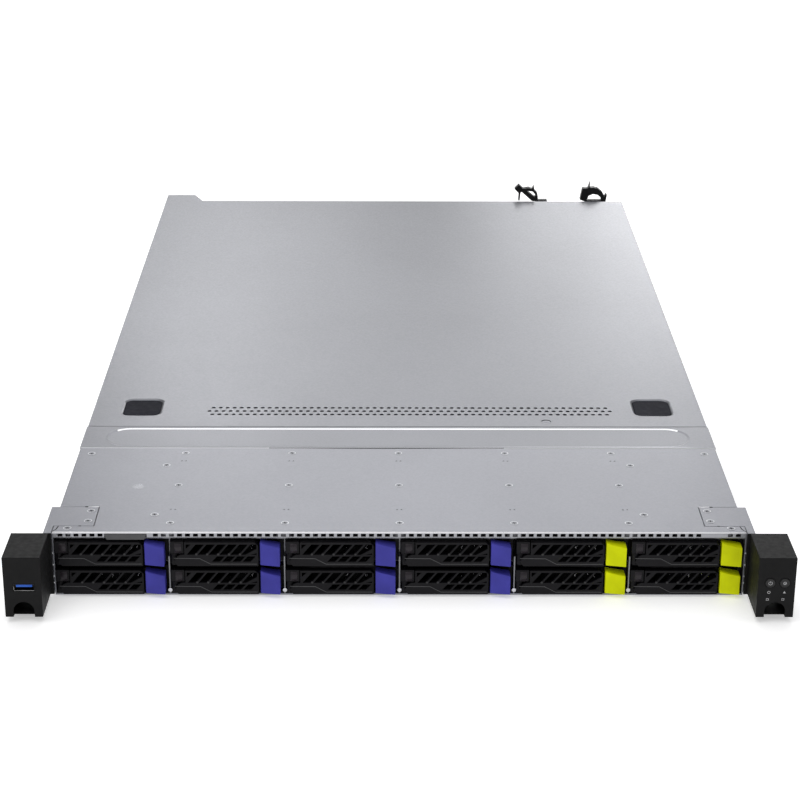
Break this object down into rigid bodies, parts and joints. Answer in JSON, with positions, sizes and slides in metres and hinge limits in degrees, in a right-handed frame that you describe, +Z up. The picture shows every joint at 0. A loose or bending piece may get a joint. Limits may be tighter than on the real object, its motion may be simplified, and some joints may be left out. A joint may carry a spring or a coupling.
{
  "type": "rack server",
  "caption": "Low rack-mounted server: flat steel chassis, rows of front drive trays with hinged levers and release buttons, rack ears, sliding cover and rear power supplies.",
  "frame": {"origin": "centre of the underside of the chassis floor", "axes": "+X to the right seen from the front, +Y from the front (drive bays) to the rear, +Z up"},
  "size_m": [0.4826, 0.797, 0.0575],
  "materials": {
    "zinc_steel": "satin zinc-plated sheet",
    "cage_steel": "satin",
    "cover_steel": "fine matte zinc-plated sheet",
    "ear_plastic": "fine texture",
    "connector_metal": "bright",
    "board_green": "solder mask",
    "fan_plastic": "moulded",
    "fin_aluminium": "plain",
    "dark_fitting": "moulded",
    "tag_plastic": "moulded",
    "button_plastic": "moulded",
    "drive_metal": "cast and stamped",
    "bezel_plastic": "moulded",
    "latch_blue": "moulded",
    "latch_green": "moulded",
    "psu_steel": "satin",
    "strap_plastic": "moulded",
    "catch_plastic": "moulded"
  },
  "bodies": {
    "chassis": {"chassis_pan": "zinc_steel", "drive_cage": "cage_steel", "front_cover": "cover_steel", "bridge_cover": "cover_steel", "ear_left": "ear_plastic", "ear_right": "ear_plastic", "ear_plates": "zinc_steel", "usb_port": "connector_metal", "backplane": "board_green", "cooling_fans": "fan_plastic", "motherboard": "board_green", "heatsinks": "fin_aluminium"},
    "cover": {"rear_cover": "cover_steel", "cover_fittings": "dark_fitting"},
    "tag": {"info_tag": "tag_plastic"},
    "power_button": {"power_button": "button_plastic"},
    "id_button": {"id_button": "button_plastic"},
    "tray_01": {"drive_tray_01": "drive_metal"},
    "lever_01": {"drive_lever_01": "bezel_plastic"},
    "latch_01": {"drive_latch_01": "latch_blue"},
    "tray_02": {"drive_tray_02": "drive_metal"},
    "lever_02": {"drive_lever_02": "bezel_plastic"},
    "latch_02": {"drive_latch_02": "latch_blue"},
    "tray_03": {"drive_tray_03": "drive_metal"},
    "lever_03": {"drive_lever_03": "bezel_plastic"},
    "latch_03": {"drive_latch_03": "latch_blue"},
    "tray_04": {"drive_tray_04": "drive_metal"},
    "lever_04": {"drive_lever_04": "bezel_plastic"},
    "latch_04": {"drive_latch_04": "latch_blue"},
    "tray_05": {"drive_tray_05": "drive_metal"},
    "lever_05": {"drive_lever_05": "bezel_plastic"},
    "latch_05": {"drive_latch_05": "latch_green"},
    "tray_06": {"drive_tray_06": "drive_metal"},
    "lever_06": {"drive_lever_06": "bezel_plastic"},
    "latch_06": {"drive_latch_06": "latch_green"},
    "tray_07": {"drive_tray_07": "drive_metal"},
    "lever_07": {"drive_lever_07": "bezel_plastic"},
    "latch_07": {"drive_latch_07": "latch_blue"},
    "tray_08": {"drive_tray_08": "drive_metal"},
    "lever_08": {"drive_lever_08": "bezel_plastic"},
    "latch_08": {"drive_latch_08": "latch_blue"},
    "tray_09": {"drive_tray_09": "drive_metal"},
    "lever_09": {"drive_lever_09": "bezel_plastic"},
    "latch_09": {"drive_latch_09": "latch_blue"},
    "tray_10": {"drive_tray_10": "drive_metal"},
    "lever_10": {"drive_lever_10": "bezel_plastic"},
    "latch_10": {"drive_latch_10": "latch_blue"},
    "tray_11": {"drive_tray_11": "drive_metal"},
    "lever_11": {"drive_lever_11": "bezel_plastic"},
    "latch_11": {"drive_latch_11": "latch_green"},
    "tray_12": {"drive_tray_12": "drive_metal"},
    "lever_12": {"drive_lever_12": "bezel_plastic"},
    "latch_12": {"drive_latch_12": "latch_green"},
    "supply_left": {"psu_left": "psu_steel", "cable_strap_left": "strap_plastic"},
    "catch_left": {"psu_catch_left": "catch_plastic"},
    "supply_right": {"psu_right": "psu_steel", "cable_strap_right": "strap_plastic"},
    "catch_right": {"psu_catch_right": "catch_plastic"}
  },
  "joints": [
    {"name": "tray_slide_01", "type": "slide", "parent": "chassis", "child": "tray_01", "axis": [0, -1, 0], "range_m": [0, 0.11]},
    {"name": "lever_hinge_01", "type": "hinge", "parent": "tray_01", "child": "lever_01", "pos_m": [-0.2128, -0.3638, 0.0095], "axis": [0, 0, -1], "range_deg": [0, 55]},
    {"name": "latch_press_01", "type": "slide", "parent": "tray_01", "child": "latch_01", "axis": [0, 1, 0], "range_m": [0, 0.0012], "stiffness_N_per_m": 300},
    {"name": "tray_slide_02", "type": "slide", "parent": "chassis", "child": "tray_02", "axis": [0, -1, 0], "range_m": [0, 0.11]},
    {"name": "lever_hinge_02", "type": "hinge", "parent": "tray_02", "child": "lever_02", "pos_m": [-0.1408, -0.3638, 0.0095], "axis": [0, 0, -1], "range_deg": [0, 55]},
    {"name": "latch_press_02", "type": "slide", "parent": "tray_02", "child": "latch_02", "axis": [0, 1, 0], "range_m": [0, 0.0012], "stiffness_N_per_m": 300},
    {"name": "tray_slide_03", "type": "slide", "parent": "chassis", "child": "tray_03", "axis": [0, -1, 0], "range_m": [0, 0.11]},
    {"name": "lever_hinge_03", "type": "hinge", "parent": "tray_03", "child": "lever_03", "pos_m": [-0.0688, -0.3638, 0.0095], "axis": [0, 0, -1], "range_deg": [0, 55]},
    {"name": "latch_press_03", "type": "slide", "parent": "tray_03", "child": "latch_03", "axis": [0, 1, 0], "range_m": [0, 0.0012], "stiffness_N_per_m": 300},
    {"name": "tray_slide_04", "type": "slide", "parent": "chassis", "child": "tray_04", "axis": [0, -1, 0], "range_m": [0, 0.11]},
    {"name": "lever_hinge_04", "type": "hinge", "parent": "tray_04", "child": "lever_04", "pos_m": [0.0032, -0.3638, 0.0095], "axis": [0, 0, -1], "range_deg": [0, 55]},
    {"name": "latch_press_04", "type": "slide", "parent": "tray_04", "child": "latch_04", "axis": [0, 1, 0], "range_m": [0, 0.0012], "stiffness_N_per_m": 300},
    {"name": "tray_slide_05", "type": "slide", "parent": "chassis", "child": "tray_05", "axis": [0, -1, 0], "range_m": [0, 0.11]},
    {"name": "lever_hinge_05", "type": "hinge", "parent": "tray_05", "child": "lever_05", "pos_m": [0.0752, -0.3638, 0.0095], "axis": [0, 0, -1], "range_deg": [0, 55]},
    {"name": "latch_press_05", "type": "slide", "parent": "tray_05", "child": "latch_05", "axis": [0, 1, 0], "range_m": [0, 0.0012], "stiffness_N_per_m": 300},
    {"name": "tray_slide_06", "type": "slide", "parent": "chassis", "child": "tray_06", "axis": [0, -1, 0], "range_m": [0, 0.11]},
    {"name": "lever_hinge_06", "type": "hinge", "parent": "tray_06", "child": "lever_06", "pos_m": [0.1472, -0.3638, 0.0095], "axis": [0, 0, -1], "range_deg": [0, 55]},
    {"name": "latch_press_06", "type": "slide", "parent": "tray_06", "child": "latch_06", "axis": [0, 1, 0], "range_m": [0, 0.0012], "stiffness_N_per_m": 300},
    {"name": "tray_slide_07", "type": "slide", "parent": "chassis", "child": "tray_07", "axis": [0, -1, 0], "range_m": [0, 0.11]},
    {"name": "lever_hinge_07", "type": "hinge", "parent": "tray_07", "child": "lever_07", "pos_m": [-0.2128, -0.3638, 0.029], "axis": [0, 0, -1], "range_deg": [0, 55]},
    {"name": "latch_press_07", "type": "slide", "parent": "tray_07", "child": "latch_07", "axis": [0, 1, 0], "range_m": [0, 0.0012], "stiffness_N_per_m": 300},
    {"name": "tray_slide_08", "type": "slide", "parent": "chassis", "child": "tray_08", "axis": [0, -1, 0], "range_m": [0, 0.11]},
    {"name": "lever_hinge_08", "type": "hinge", "parent": "tray_08", "child": "lever_08", "pos_m": [-0.1408, -0.3638, 0.029], "axis": [0, 0, -1], "range_deg": [0, 55]},
    {"name": "latch_press_08", "type": "slide", "parent": "tray_08", "child": "latch_08", "axis": [0, 1, 0], "range_m": [0, 0.0012], "stiffness_N_per_m": 300},
    {"name": "tray_slide_09", "type": "slide", "parent": "chassis", "child": "tray_09", "axis": [0, -1, 0], "range_m": [0, 0.11]},
    {"name": "lever_hinge_09", "type": "hinge", "parent": "tray_09", "child": "lever_09", "pos_m": [-0.0688, -0.3638, 0.029], "axis": [0, 0, -1], "range_deg": [0, 55]},
    {"name": "latch_press_09", "type": "slide", "parent": "tray_09", "child": "latch_09", "axis": [0, 1, 0], "range_m": [0, 0.0012], "stiffness_N_per_m": 300},
    {"name": "tray_slide_10", "type": "slide", "parent": "chassis", "child": "tray_10", "axis": [0, -1, 0], "range_m": [0, 0.11]},
    {"name": "lever_hinge_10", "type": "hinge", "parent": "tray_10", "child": "lever_10", "pos_m": [0.0032, -0.3638, 0.029], "axis": [0, 0, -1], "range_deg": [0, 55]},
    {"name": "latch_press_10", "type": "slide", "parent": "tray_10", "child": "latch_10", "axis": [0, 1, 0], "range_m": [0, 0.0012], "stiffness_N_per_m": 300},
    {"name": "tray_slide_11", "type": "slide", "parent": "chassis", "child": "tray_11", "axis": [0, -1, 0], "range_m": [0, 0.11]},
    {"name": "lever_hinge_11", "type": "hinge", "parent": "tray_11", "child": "lever_11", "pos_m": [0.0752, -0.3638, 0.029], "axis": [0, 0, -1], "range_deg": [0, 55]},
    {"name": "latch_press_11", "type": "slide", "parent": "tray_11", "child": "latch_11", "axis": [0, 1, 0], "range_m": [0, 0.0012], "stiffness_N_per_m": 300},
    {"name": "tray_slide_12", "type": "slide", "parent": "chassis", "child": "tray_12", "axis": [0, -1, 0], "range_m": [0, 0.11]},
    {"name": "lever_hinge_12", "type": "hinge", "parent": "tray_12", "child": "lever_12", "pos_m": [0.1472, -0.3638, 0.029], "axis": [0, 0, -1], "range_deg": [0, 55]},
    {"name": "latch_press_12", "type": "slide", "parent": "tray_12", "child": "latch_12", "axis": [0, 1, 0], "range_m": [0, 0.0012], "stiffness_N_per_m": 300},
    {"name": "cover_slide", "type": "slide", "parent": "chassis", "child": "cover", "axis": [0, 1, 0], "range_m": [0, 0.014]},
    {"name": "tag_pull", "type": "slide", "parent": "chassis", "child": "tag", "axis": [0, -1, 0], "range_m": [0, 0.045]},
    {"name": "power_press", "type": "slide", "parent": "chassis", "child": "power_button", "axis": [0, 1, 0], "range_m": [0, 0.0008], "stiffness_N_per_m": 300},
    {"name": "id_press", "type": "slide", "parent": "chassis", "child": "id_button", "axis": [0, 1, 0], "range_m": [0, 0.0008], "stiffness_N_per_m": 300},
    {"name": "supply_slide_left", "type": "slide", "parent": "chassis", "child": "supply_left", "axis": [0, 1, 0], "range_m": [0, 0.15]},
    {"name": "catch_press_left", "type": "slide", "parent": "supply_left", "child": "catch_left", "axis": [1, 0, 0], "range_m": [0, 0.0025], "stiffness_N_per_m": 300},
    {"name": "supply_slide_right", "type": "slide", "parent": "chassis", "child": "supply_right", "axis": [0, 1, 0], "range_m": [0, 0.15]},
    {"name": "catch_press_right", "type": "slide", "parent": "supply_right", "child": "catch_right", "axis": [1, 0, 0], "range_m": [0, 0.0025], "stiffness_N_per_m": 300}
  ]
}
